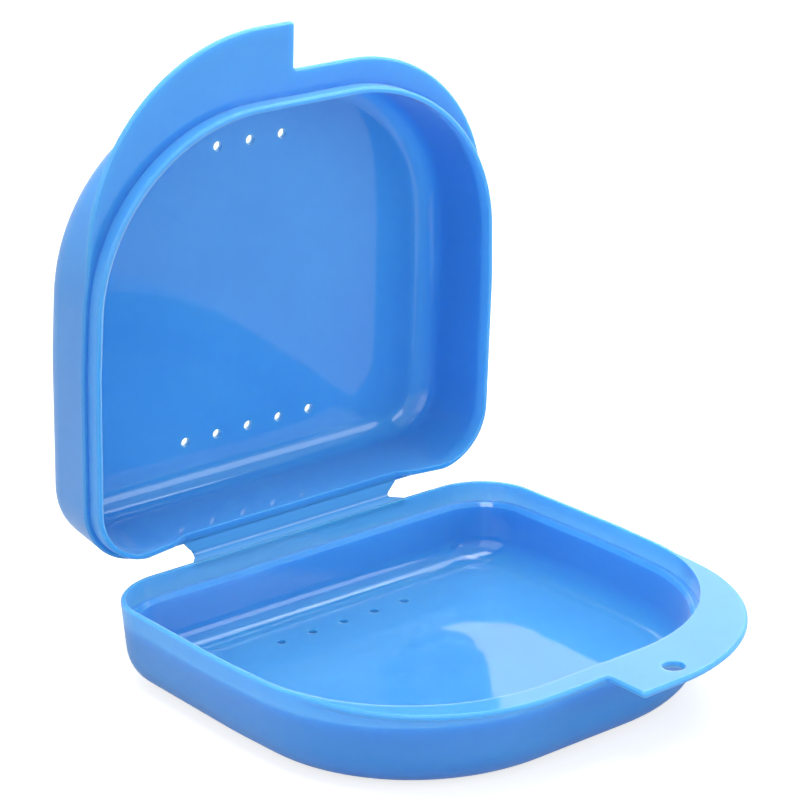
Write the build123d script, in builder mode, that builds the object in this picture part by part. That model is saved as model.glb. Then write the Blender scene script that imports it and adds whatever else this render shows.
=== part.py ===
# A small hinged case for a dental retainer, moulded in one shot from polypropylene.
# It is a tray and a matching lid joined along the back by a thin living hinge.
# Origin: centre of the tray's flat underside. X runs along the hinge, Y to the hinge, Z up.
# The case stands open, as it does in the photograph. Millimetres and degrees.

import os
from math import radians, tan

from build123d import *

os.makedirs("parts", exist_ok=True)

# Shell outline at the parting plane, which both halves share
case_width = 78.0
hinge_edge_y = 36.8
wall_front_y = -33.65
side_break_y = 4.0
wall_front_taper = 1.95
rear_corner_radius = 10.5
side_radius = 85.0
front_corner_radius = 30.0

# Heights and wall thicknesses
half_height = 13.6
parting_gap = 0.1
wall = 2.0
skin = 1.0
draft = 3.5
outer_base_radius = 6.2
inner_base_radius = 3.8

# Rim plate, which widens to a brim along the front
brim_thickness = 1.0
brim_front_y = -36.7
brim_front_taper = 5.1
brim_corner_radius = 27.1
brim_root_y = 0.0
edge_break = 0.3

# Pull tabs: each half has a crescent on one side of the centre line
tab_front_y = -44.1
tab_front_taper = 3.95
tab_corner_radius = 31.0
tab_cut_x = -0.85
tab_cut_clearance = 0.15
tab_tip_radius = 0.7
tab_notch_radius = 0.5
tab_hole_x = 8.4
tab_hole_y = -40.3
tab_hole_diameter = 3.4

# Seat of the lid: a lip on the lid drops into a recess in the tray's rim
rim_wall = 0.75
ledge_width = 0.9
ledge_break = 0.7
lip_clearance = 0.15
lip_thickness = 0.85
lip_height = 2.5
lip_root = 1.0
lip_lead_in = 0.3
seat_clearance = 0.8

# Ends of the lip: it leaves the hinge free, and rises beside it in two slopes
lip_rise_length = 3.0
lip_rise_height = 1.3
lip_ramp_length = 10.5
lip_cut_depth = 4.0

# Vent holes
vent_diameter = 1.6
vent_pitch = 6.1
rear_vent_y = 26.1
front_vent_y = -22.25

# Living hinge
hinge_axis_y = 38.95
leaf_root_half_width = 20.8
leaf_tip_half_width = 19.5
leaf_thickness = 1.0
leaf_sink = 0.05
film_reach = 0.6
film_thickness = 0.3
open_angle = 85.0

# Derived sizes
half_width = case_width / 2
recess_depth = lip_height + seat_clearance
lip_inset = rim_wall + lip_clearance
lid_inset = lip_inset + lip_thickness
axis_height = half_height + parting_gap / 2
leaf_end_y = hinge_axis_y - film_reach
film_offset = parting_gap / 2 + leaf_sink + film_thickness / 2
film_turn = 180 - open_angle
film_bend_radius = film_reach * tan(radians(open_angle / 2)) + film_offset
lid_seam_z = half_height + parting_gap
lid_top = lid_seam_z + half_height

# Both halves are drawn with the mouth down, the lid where it lies when the case is closed.
# The tray is then turned over about its mouth, and the lid is swung open about the hinge.
tray_mouth = Plane.XY.offset(half_height)
lid_mouth = Plane.XY.offset(lid_seam_z)
turning_axis = Axis((0, 0, half_height), (0, 1, 0))
hinge_axis = Axis((0, hinge_axis_y, axis_height), (-1, 0, 0))


def rounded_outline(front_y, front_taper, front_radius):
    """D-shaped face: straight back, slightly bowed sides, wide rounded front corners."""
    front_half_width = half_width - front_taper
    with BuildSketch() as outline:
        with BuildLine():
            Polyline(
                (half_width, hinge_edge_y),
                (-half_width, hinge_edge_y),
                (-half_width, side_break_y),
                (-front_half_width, front_y),
                (front_half_width, front_y),
                (half_width, side_break_y),
                close=True,
            )
        make_face()
        fillet(outline.vertices().group_by(Axis.Y)[-1], rear_corner_radius)
        fillet(outline.vertices().group_by(Axis.Y)[0], front_radius)
        breaks = outline.vertices().filter_by_position(Axis.Y, side_break_y - 0.01, side_break_y + 0.01)
        fillet(breaks, side_radius)
    return outline.sketch


def wall_outline(inset=0.0):
    """Outline of the walls at the parting plane, shrunk evenly by the inset."""
    with BuildSketch() as shrunk:
        add(rounded_outline(wall_front_y, wall_front_taper, front_corner_radius))
        if inset > 0:
            offset(amount=-inset, kind=Kind.INTERSECTION, mode=Mode.REPLACE)
    return shrunk.sketch


def brim_outline(cut_x):
    """Brim in front of the walls, with the pull tab on the -X side of the cut."""
    reach = case_width
    with BuildSketch() as tab:
        add(rounded_outline(tab_front_y, tab_front_taper, tab_corner_radius))
        with Locations((cut_x - reach / 2, 0)):
            Rectangle(reach, 2 * reach, mode=Mode.INTERSECT)
        tip = tab.vertices().sort_by_distance((cut_x, tab_front_y))[0]
        fillet(tip, tab_tip_radius)
    with BuildSketch() as brim:
        add(rounded_outline(brim_front_y, brim_front_taper, brim_corner_radius))
        add(tab.sketch)
        with Locations((0, brim_root_y - reach / 2)):
            Rectangle(2 * reach, reach, mode=Mode.INTERSECT)
        notch = brim.vertices().sort_by_distance((cut_x, brim_front_y))[0]
        fillet(notch, tab_notch_radius)
    return brim.sketch


def vents(y, count, z=0.0):
    """Centres of one row of vent holes."""
    return [((i - (count - 1) / 2) * vent_pitch, y, z) for i in range(count)]


def edges_on(block, plane):
    """Edges of a part that lie wholly on a level plane."""
    z = plane.origin.Z
    level = block.edges().filter_by_position(Axis.Z, z - 0.001, z + 0.001)
    return level.filter_by(lambda edge: edge.bounding_box().size.Z < 0.001)


def drafted_block(mouth, inset, height, end_radius):
    """Solid block that rises from a mouth with drafted sides and a rounded end."""
    with BuildPart() as block:
        with BuildSketch(mouth):
            add(wall_outline(inset))
        extrude(amount=height, taper=draft)
        fillet(edges_on(block, mouth.offset(height)), end_radius)
    return block.part


def shell_block(mouth):
    """Outer block of one half, before it is hollowed."""
    with BuildPart() as block:
        add(drafted_block(mouth, 0.0, half_height, outer_base_radius))
        chamfer(edges_on(block, mouth), edge_break)
    return block.part


def brim_plate(mouth, cut_x):
    """Brim and pull tab of one half, with its sharp edges taken off."""
    with BuildPart() as plate:
        with BuildSketch(mouth):
            add(brim_outline(cut_x))
        extrude(amount=brim_thickness)
        chamfer(edges_on(plate, mouth), edge_break)
        chamfer(edges_on(plate, mouth.offset(brim_thickness)), edge_break)
    return plate.part


def lip_gap():
    """Block that takes the lip away along the hinge, with a slope at either end."""
    rise_x = leaf_root_half_width + lip_rise_length
    ramp_x = leaf_root_half_width + lip_ramp_length
    with BuildPart() as gap:
        with BuildSketch(Plane.XZ.offset(-hinge_edge_y)):
            with BuildLine():
                Polyline(
                    (-ramp_x, lid_seam_z - lip_height),
                    (-rise_x, lid_seam_z - lip_rise_height),
                    (-leaf_root_half_width, lid_seam_z),
                    (leaf_root_half_width, lid_seam_z),
                    (rise_x, lid_seam_z - lip_rise_height),
                    (ramp_x, lid_seam_z - lip_height),
                    close=True,
                )
            make_face()
        extrude(amount=lip_cut_depth)
    return gap.part


# Tray, drawn mouth down: drafted walls, a flat floor, a recess with a ledge, a brim and a tab
with BuildPart() as upturned_tray:
    add(shell_block(tray_mouth))
    add(brim_plate(tray_mouth, -(tab_cut_x + tab_cut_clearance / 2)))
    with BuildSketch(tray_mouth):
        add(wall_outline(rim_wall))
    extrude(amount=recess_depth, mode=Mode.SUBTRACT)
    with BuildSketch(tray_mouth.offset(recess_depth)):
        add(wall_outline(rim_wall + ledge_width))
    extrude(amount=ledge_break, taper=45, mode=Mode.SUBTRACT)
    add(drafted_block(tray_mouth, wall, half_height - skin, inner_base_radius), mode=Mode.SUBTRACT)

# Tray, turned over: its floor is drilled with vents and its tab with a hole
with BuildPart() as base_tray:
    add(upturned_tray.part.rotate(turning_axis, 180))
    with Locations(*vents(rear_vent_y, 5)):
        Cylinder(vent_diameter / 2, 3 * skin, mode=Mode.SUBTRACT)
    with Locations((tab_hole_x, tab_hole_y, half_height)):
        Cylinder(tab_hole_diameter / 2, 3 * brim_thickness, mode=Mode.SUBTRACT)
base_tray.part.label = "base_tray"
export_step(base_tray.part, "parts/base_tray.step")

# Lid, drawn closed: the same shell turned over, with a lip round its mouth and the other tab
with BuildPart() as closed_lid:
    add(shell_block(lid_mouth))
    add(brim_plate(lid_mouth, tab_cut_x - tab_cut_clearance / 2))
    with BuildSketch(lid_mouth.offset(-lip_height)):
        add(wall_outline(lip_inset))
    extrude(amount=lip_height + lip_root)
    chamfer(edges_on(closed_lid, lid_mouth.offset(-lip_height)), lip_lead_in)
    with BuildSketch(lid_mouth.offset(-lip_height)):
        add(wall_outline(lid_inset))
    extrude(amount=lip_height, mode=Mode.SUBTRACT)
    add(lip_gap(), mode=Mode.SUBTRACT)
    add(drafted_block(lid_mouth, lid_inset, half_height - skin, inner_base_radius), mode=Mode.SUBTRACT)
    with Locations(*vents(rear_vent_y, 5, lid_top), *vents(front_vent_y, 3, lid_top)):
        Cylinder(vent_diameter / 2, 3 * skin, mode=Mode.SUBTRACT)

with BuildPart() as lid_shell:
    add(closed_lid.part.rotate(hinge_axis, open_angle))
lid_shell.part.label = "lid_shell"
export_step(lid_shell.part, "parts/lid_shell.step")


def leaf_block(mouth, shell):
    """Hinge leaf: a flap that starts in a shell's back wall and narrows to the film."""
    with BuildPart() as leaf:
        with BuildSketch(mouth.offset(leaf_sink)):
            with BuildLine():
                Polyline(
                    (leaf_root_half_width, hinge_edge_y - rim_wall / 2),
                    (leaf_root_half_width, hinge_edge_y),
                    (leaf_tip_half_width, leaf_end_y),
                    (-leaf_tip_half_width, leaf_end_y),
                    (-leaf_root_half_width, hinge_edge_y),
                    (-leaf_root_half_width, hinge_edge_y - rim_wall / 2),
                    close=True,
                )
            make_face()
        extrude(amount=leaf_thickness)
        add(shell, mode=Mode.SUBTRACT)
    return leaf.part


# Hinge leaves: one flap on the back of each half, seated on its drafted wall
with BuildPart() as base_hinge_leaf:
    add(leaf_block(tray_mouth, upturned_tray.part).rotate(turning_axis, 180))
base_hinge_leaf.part.label = "base_hinge_leaf"
export_step(base_hinge_leaf.part, "parts/base_hinge_leaf.step")

with BuildPart() as lid_hinge_leaf:
    add(leaf_block(lid_mouth, closed_lid.part).rotate(hinge_axis, open_angle))
lid_hinge_leaf.part.label = "lid_hinge_leaf"
export_step(lid_hinge_leaf.part, "parts/lid_hinge_leaf.step")

# Living hinge film: a thin strip bent from the end of one leaf to the end of the other
with BuildPart() as hinge_film:
    with BuildSketch(Plane.YZ):
        with BuildLine():
            bend_centre = (leaf_end_y, axis_height - film_offset + film_bend_radius)
            inner = CenterArc(bend_centre, film_bend_radius - film_thickness / 2, -90, film_turn)
            outer = CenterArc(bend_centre, film_bend_radius + film_thickness / 2, -90, film_turn)
            Line(inner @ 0, outer @ 0)
            Line(inner @ 1, outer @ 1)
        make_face()
    extrude(amount=leaf_tip_half_width, both=True)
hinge_film.part.label = "hinge_film"
export_step(hinge_film.part, "parts/hinge_film.step")
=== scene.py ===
# A dental retainer case in blue polypropylene, standing open on a plain pale floor.
from math import cos, pi, radians, sin, tan

import bmesh
import bpy
from mathutils import Matrix, Vector


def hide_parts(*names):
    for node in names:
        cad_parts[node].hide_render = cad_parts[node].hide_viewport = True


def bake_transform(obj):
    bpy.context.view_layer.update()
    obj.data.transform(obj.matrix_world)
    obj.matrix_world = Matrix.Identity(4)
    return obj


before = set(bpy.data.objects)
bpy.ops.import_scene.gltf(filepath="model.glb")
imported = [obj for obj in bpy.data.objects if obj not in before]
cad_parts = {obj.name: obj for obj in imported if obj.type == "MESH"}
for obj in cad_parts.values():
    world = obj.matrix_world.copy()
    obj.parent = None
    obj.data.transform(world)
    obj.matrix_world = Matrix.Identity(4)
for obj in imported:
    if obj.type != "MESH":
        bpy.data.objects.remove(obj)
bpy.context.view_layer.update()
MM = 0.001

# Sizes of the case that the looks refer to
MOUTH_Z = 13.6 * MM
HINGE_Y = 38.95 * MM
HINGE_Z = 13.65 * MM
OPEN_ANGLE = 85.0

# In the closed case, a point a little way out of each half's mouth, which its core side faces
OUT_Y = 2.0 * MM
TRAY_OUT_Z = MOUTH_Z + 4.0 * MM
LID_OUT_Z = MOUTH_Z - 6.0 * MM

# The hinge film. Its waist and neck are the shares of thickness and width lost at mid-bend
FILM_REACH = 0.6 * MM
FILM_THICKNESS = 0.3 * MM
FILM_HALF_WIDTH = 19.5 * MM
FILM_OFFSET = 0.25 * MM
FILM_WAIST = 0.35
FILM_NECK = 0.012
FILM_STEPS = 24
FILM_COLUMNS = 96


# Shader helpers

class Nodes:
    """The node tree of a material or a world, with short calls for the nodes used here."""

    def __init__(self, owner):
        self.owner = owner
        owner.use_nodes = True
        self.tree = owner.node_tree
        self.tree.nodes.clear()

    def put(self, node, socket, value):
        """Set an input to a value, or link it where the value is another node's output."""
        if isinstance(value, bpy.types.NodeSocket):
            self.tree.links.new(value, node.inputs[socket])
        else:
            node.inputs[socket].default_value = value

    def node(self, kind, **inputs):
        """A node with its named inputs filled, with _ for a space in a name."""
        made = self.tree.nodes.new(kind)
        for key, value in inputs.items():
            self.put(made, key.replace("_", " "), value)
        return made

    def math(self, operation, *values):
        made = self.node("ShaderNodeMath")
        made.operation = operation
        for i, value in enumerate(values):
            self.put(made, i, value)
        return made.outputs[0]

    def vector(self, operation, *values):
        made = self.node("ShaderNodeVectorMath")
        made.operation = operation
        for i, value in enumerate(values):
            self.put(made, i, value)
        return made

    def ramp(self, value, low, high, to_low=0.0, to_high=1.0):
        """A smooth step from to_low, where the value is low, to to_high, where it is high."""
        made = self.node(
            "ShaderNodeMapRange",
            Value=value,
            From_Min=low,
            From_Max=high,
            To_Min=to_low,
            To_Max=to_high,
        )
        made.interpolation_type = "SMOOTHSTEP"
        return made.outputs["Result"]

    def noise(self, place, scale, detail, roughness):
        made = self.node(
            "ShaderNodeTexNoise", Vector=place, Scale=scale, Detail=detail, Roughness=roughness
        )
        return made.outputs["Fac"]

    def mix(self, factor, a, b):
        """A blend of two colours. The node tells its colour sockets apart by number only."""
        made = self.node("ShaderNodeMix")
        made.data_type = "RGBA"
        for socket, value in ((0, factor), (6, a), (7, b)):
            self.put(made, socket, value)
        return made.outputs[2]

    def finish(self, kind, shader):
        """Send a shader to the output, and return the material or world."""
        self.node(kind, Surface=shader.outputs[0])
        return self.owner


def linear(r, g, b):
    """Linear colour of a screen colour given in 0 to 255."""
    def one(v):
        v /= 255
        return v / 12.92 if v < 0.04045 else ((v + 0.055) / 1.055) ** 2.4
    return (one(r), one(g), one(b), 1.0)


# Polypropylene. Light spreads in the walls and makes them glow. The thin hinge leaves get no glow,
# as it would end in a dark seam where they meet the shells; their paler colour is a painted glow
# instead.
BLUE = linear(66, 146, 210)
BLUE_DEEP = linear(60, 140, 206)
# Paler blues of the hinge leaves: painted glow in place of light spread under the skin
LEAF_BLUE_PAINTED_GLOW = linear(82, 162, 220)
LEAF_BLUE_DEEP_PAINTED_GLOW = linear(76, 156, 216)
WORN_BLUE = linear(128, 168, 212)
PLASTIC_IOR = 1.49
SHEEN = 0.16
WALL_GLOW = 1.0
WALL_GLOW_DEPTH = 4.0 * MM
WALL_GLOW_SPREAD = (0.75, 0.9, 1.0)
WALL_EDGE = 0.15 * MM
LEAF_GLOW = 0.0
LEAF_EDGE = 0.01 * MM
FILM_GLOW = 0.3
FILM_GLOW_DEPTH = 0.6 * MM
FILM_GLOW_SPREAD = (0.5, 0.8, 1.2)

# Roughness of each finish, and what its unevenness adds
POLISHED, POLISHED_HAZE = 0.035, 0.05
SATIN, SATIN_HAZE = 0.28, 0.12
FILM_SATIN, FILM_WEAR = 0.5, 0.12

# Fineness of the noise in the materials, in cells to the metre
DRIFT = 38.0
MOTTLE = 420.0
HAZE = 160.0
WALL_WAVE = 75.0
SPARK_GRAIN = 3800.0
FIBRES = (900.0, 160.0, 160.0)
FLOOR_TOOTH = 500.0


def polypropylene(name, centre, glow=WALL_GLOW, edge=WALL_EDGE, low=BLUE_DEEP, high=BLUE):
    """Moulded polypropylene: polished on the core side, satin on the cavity side.

    centre lies a little way out of the mouth: surfaces that look back at it are the core side.
    glow is how much of the light spreads under the skin, and edge is how far edges are rounded.
    """
    s = Nodes(bpy.data.materials.new(name))
    coords = s.node("ShaderNodeTexCoord")
    place = coords.outputs["Object"]
    outwards = s.vector("SUBTRACT", place, centre).outputs[0]
    facing = s.vector("DOT_PRODUCT", coords.outputs["Normal"], outwards).outputs["Value"]
    inside = s.ramp(facing, 0.2 * MM, -0.6 * MM)
    outside = s.math("SUBTRACT", 1.0, inside)

    # slow colour drift of the melt, and finer mottling under the skin
    drift = s.noise(place, DRIFT, 3.0, 0.55)
    mottle = s.noise(place, MOTTLE, 4.0, 0.6)
    tint = s.math("MULTIPLY_ADD", drift, 0.75, s.math("MULTIPLY", mottle, 0.25))
    colour = s.mix(s.ramp(tint, 0.3, 0.7), low, high)

    # polished core side, finely spark-eroded cavity side, both a little uneven
    haze = s.noise(place, HAZE, 3.0, 0.6)
    polished = s.math("MULTIPLY_ADD", haze, POLISHED_HAZE, POLISHED)
    satin = s.math("MULTIPLY_ADD", haze, SATIN_HAZE, SATIN)
    roughness = s.math(
        "ADD", s.math("MULTIPLY", polished, inside), s.math("MULTIPLY", satin, outside)
    )

    # slow waviness of a thin moulded wall, and the fine grain of the cavity side
    wave = s.noise(place, WALL_WAVE, 2.0, 0.45)
    grain = s.math("MULTIPLY", s.noise(place, SPARK_GRAIN, 2.0, 0.6), outside)
    height = s.math("MULTIPLY_ADD", grain, 0.012, wave)
    soft_edge = s.node("ShaderNodeBevel", Radius=edge)
    soft_edge.samples = 6
    bump = s.node("ShaderNodeBump", Strength=0.3, Distance=0.3 * MM, Height=height)
    s.put(bump, "Normal", soft_edge.outputs[0])

    skin = s.node(
        "ShaderNodeBsdfPrincipled",
        Base_Color=colour,
        Roughness=roughness,
        IOR=PLASTIC_IOR,
        Subsurface_Weight=glow,
        Subsurface_Radius=WALL_GLOW_SPREAD,
        Subsurface_Scale=WALL_GLOW_DEPTH,
        Sheen_Weight=SHEEN,
        Normal=bump.outputs[0],
    )
    return s.finish("ShaderNodeOutputMaterial", skin)


def stretched_film(name):
    """Thin hinge film: paler and duller along the crease where it has been worked."""
    s = Nodes(bpy.data.materials.new(name))
    place = s.node("ShaderNodeTexCoord").outputs["Object"]
    along = s.node("ShaderNodeAttribute")
    along.attribute_name = "across"
    from_crease = s.math("ABSOLUTE", s.math("SUBTRACT", along.outputs["Fac"], 0.5))
    crease = s.ramp(from_crease, 0.16, 0.02)
    streaks = s.node("ShaderNodeMapping", Vector=place, Scale=FIBRES)
    fibre = s.noise(streaks.outputs[0], 1.0, 3.0, 0.65)
    worn = s.math("MULTIPLY", crease, s.ramp(fibre, 0.25, 0.6, 0.55, 1.0))
    bump = s.node("ShaderNodeBump", Strength=0.4, Distance=0.06 * MM, Height=fibre)
    skin = s.node(
        "ShaderNodeBsdfPrincipled",
        Base_Color=s.mix(worn, BLUE, WORN_BLUE),
        Roughness=s.math("MULTIPLY_ADD", worn, FILM_WEAR, FILM_SATIN),
        IOR=PLASTIC_IOR,
        Subsurface_Weight=FILM_GLOW,
        Subsurface_Radius=FILM_GLOW_SPREAD,
        Subsurface_Scale=FILM_GLOW_DEPTH,
        Normal=bump.outputs[0],
    )
    return s.finish("ShaderNodeOutputMaterial", skin)


# The moulding: materials for the CAD nodes

def opened(y, z):
    """Where a point of the closed lid lies after the lid has swung open."""
    a = radians(OPEN_ANGLE)
    dy, dz = y - HINGE_Y, z - HINGE_Z
    return HINGE_Y + dy * cos(a) + dz * sin(a), HINGE_Z - dy * sin(a) + dz * cos(a)


def assign(node, material):
    """Give a CAD node its material through its object's slots."""
    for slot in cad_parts[node].material_slots:
        slot.link = "OBJECT"
        slot.material = material


tray_centre = (0.0, OUT_Y, TRAY_OUT_Z)
lid_centre = (0.0, *opened(OUT_Y, LID_OUT_Z))
assign("base_tray", polypropylene("tray_plastic", tray_centre))
assign("lid_shell", polypropylene("lid_plastic", lid_centre))
# The leaves take the paler blues, a painted glow in place of light spread under the skin
for leaf, centre in (("base_hinge_leaf", tray_centre), ("lid_hinge_leaf", lid_centre)):
    assign(
        leaf,
        polypropylene(leaf + "_plastic", centre, LEAF_GLOW, LEAF_EDGE, LEAF_BLUE_DEEP_PAINTED_GLOW, LEAF_BLUE_PAINTED_GLOW),
    )


# The living hinge: the one piece that bends, so it has a mesh of its own

def bent_ring(bm, across, x, centre, radius, turn):
    """One slice of the film at x, out along its inner side and back along its outer side."""
    centre_y, centre_z = centre
    ring = []
    for side in (-1, 1):
        for j in range(FILM_STEPS + 1)[::-side]:
            t = j / FILM_STEPS
            bulge = sin(pi * t)
            half = FILM_THICKNESS / 2 * (1 - FILM_WAIST * bulge ** 2)
            a = -pi / 2 + turn * t
            r = radius + side * half
            place = (x * (1 - FILM_NECK * bulge), centre_y + r * cos(a), centre_z + r * sin(a))
            v = bm.verts.new(place)
            v[across] = t
            ring.append(v)
    return ring


def hinge_film():
    """The film, bent from leaf to leaf and thinnest at its middle, and the places of its ends."""
    turn = radians(180 - OPEN_ANGLE)
    radius = FILM_REACH * tan(radians(OPEN_ANGLE / 2)) + FILM_OFFSET
    centre_y, centre_z = HINGE_Y - FILM_REACH, HINGE_Z - FILM_OFFSET + radius
    bm = bmesh.new()
    across = bm.verts.layers.float.new("across")
    rings = []
    for i in range(FILM_COLUMNS + 1):
        x = FILM_HALF_WIDTH * (2 * i / FILM_COLUMNS - 1)
        rings.append(bent_ring(bm, across, x, (centre_y, centre_z), radius, turn))
    count = len(rings[0])
    for a, b in zip(rings, rings[1:]):
        for k in range(count):
            after = (k + 1) % count
            bm.faces.new((a[k], b[k], b[after], a[after]))
    for end in (rings[0], rings[-1]):
        for j in range(FILM_STEPS):
            bm.faces.new((end[j], end[j + 1], end[count - 2 - j], end[count - 1 - j]))
    bmesh.ops.recalc_face_normals(bm, faces=bm.faces)
    mesh = bpy.data.meshes.new("living_hinge_film")
    bm.to_mesh(mesh)
    bm.free()
    for face in mesh.polygons:
        face.use_smooth = True
    made = bpy.data.objects.new("living_hinge_film", mesh)
    bpy.context.scene.collection.objects.link(made)
    mesh.materials.append(stretched_film("worked_film"))
    start = Vector((0, centre_y, centre_z - radius))
    end = Vector((0, centre_y + radius * sin(turn), centre_z - radius * cos(turn)))
    return made, start, end


film, film_start, film_end = hinge_film()
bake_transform(film)
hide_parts("hinge_film")


# Floor: plain and pale, white to the camera, with the case's soft shadow. In metres

FLOOR_HALF = 1.5
FLOOR_DROP = 0.1 * MM
FLOOR_GREY = (0.48, 0.48, 0.48, 1)
WHITE = (1, 1, 1, 1)

# The floor's glow to the camera near the case and far from it, and how near and how far
LIFT_NEAR, LIFT_FAR = 0.72, 0.9
NEAR, FAR = 0.2, 0.9


def sweep():
    s = Nodes(bpy.data.materials.new("white_sweep"))
    place = s.node("ShaderNodeTexCoord").outputs["Object"]
    tooth = s.noise(place, FLOOR_TOOTH, 4.0, 0.6)
    bump = s.node("ShaderNodeBump", Strength=0.08, Distance=0.1 * MM, Height=tooth)
    paper = s.node("ShaderNodeBsdfDiffuse", Color=FLOOR_GREY, Normal=bump.outputs[0])
    away = s.vector("LENGTH", place).outputs["Value"]
    lift = s.ramp(away, NEAR, FAR, LIFT_NEAR, LIFT_FAR)
    seen = s.node("ShaderNodeLightPath").outputs["Is Camera Ray"]
    glow = s.node("ShaderNodeEmission", Color=WHITE, Strength=s.math("MULTIPLY", seen, lift))
    both = s.node("ShaderNodeAddShader")
    s.put(both, 0, paper.outputs[0])
    s.put(both, 1, glow.outputs[0])

    mesh = bpy.data.meshes.new("sweep")
    corners = [(x * FLOOR_HALF, y * FLOOR_HALF, 0) for x, y in ((-1, -1), (1, -1), (1, 1), (-1, 1))]
    mesh.from_pydata(corners, [], [(0, 1, 2, 3)])
    mesh.materials.append(s.finish("ShaderNodeOutputMaterial", both))
    floor = bpy.data.objects.new("sweep", mesh)
    bpy.context.scene.collection.objects.link(floor)
    floor.location = (0, 0, -FLOOR_DROP)
    return floor


sweep()


# Lights: soft boxes overhead and high on the right, a low one at the front right that
# streaks the polished fillets, a narrow cool one that draws the fine line below the streak,
# and fills from the left and behind. Places and sizes are in metres, powers in watts.

NEUTRAL = (1, 1, 1)
COOL = (0.76, 0.93, 1.0)


def softbox(name, place, aim, width, height, power, colour=NEUTRAL):
    data = bpy.data.lights.new(name, "AREA")
    data.color = colour
    data.shape = "RECTANGLE"
    data.size, data.size_y = width, height
    data.energy = power
    made = bpy.data.objects.new(name, data)
    made.location = place
    made.rotation_euler = (Vector(aim) - Vector(place)).to_track_quat("-Z", "Y").to_euler()
    bpy.context.scene.collection.objects.link(made)


softbox("overhead", (0.0, 0.01, 0.53), (0, 0.01, 0.03), 0.42, 0.26, 2.55)
softbox("right_top", (0.27, 0.07, 0.44), (0, 0.02, 0.03), 0.36, 0.34, 1.25)
softbox("front_low", (0.38, -0.58, 0.18), (0, 0.01, 0.03), 0.60, 0.30, 1.75)
softbox("left_fill", (-0.65, -0.25, 0.35), (0, 0.01, 0.04), 0.80, 0.60, 2.2)
softbox("back_wall", (0.42, 0.60, 0.36), (0, 0, 0.03), 0.70, 0.45, 1.0)
softbox("strip", (0.26, -0.075, 0.44), (-0.01, 0.05, 0.02), 0.24, 0.045, 0.14, COOL)

# The sky lights at one level, adds some to reflections and comes to 1 for the camera
SKY_LEVEL = 0.55
SKY_FOR_GLOSS = 0.2
SKY_FOR_CAMERA = 0.45

world = bpy.data.worlds.new("studio")
s = Nodes(world)
path = s.node("ShaderNodeLightPath")
strength = s.math("MULTIPLY_ADD", path.outputs["Is Glossy Ray"], SKY_FOR_GLOSS, SKY_LEVEL)
strength = s.math("MULTIPLY_ADD", path.outputs["Is Camera Ray"], SKY_FOR_CAMERA, strength)
sky = s.node("ShaderNodeBackground", Color=WHITE, Strength=strength)
bpy.context.scene.world = s.finish("ShaderNodeOutputWorld", sky)


# Camera: the photograph's viewing angle. Degrees, and millimetres

CAMERA_PLACE = (-230.07, -287.32, 171.81)
CAMERA_AZIMUTH = -37.731
CAMERA_ELEVATION = 19.02
CAMERA_ROLL = -1.52
CAMERA_LENS = 119.916
CAMERA_SENSOR = 36.0

az, el, roll = radians(CAMERA_AZIMUTH), radians(CAMERA_ELEVATION), radians(CAMERA_ROLL)
back = Vector((sin(az) * cos(el), -cos(az) * cos(el), sin(el)))
right = Vector((cos(az), sin(az), 0))
up = back.cross(right)
turned_right = cos(roll) * right + sin(roll) * up
turned_up = -sin(roll) * right + cos(roll) * up
camera_data = bpy.data.cameras.new("camera")
camera_data.lens = CAMERA_LENS
camera_data.sensor_width = CAMERA_SENSOR
camera_data.clip_start = 10.0 * MM
camera = bpy.data.objects.new("camera", camera_data)
camera.matrix_world = Matrix((turned_right, turned_up, back)).transposed().to_4x4()
camera.location = [v * MM for v in CAMERA_PLACE]
bpy.context.scene.collection.objects.link(camera)
bpy.context.scene.camera = camera

bpy.context.scene.view_settings.view_transform = "Standard"
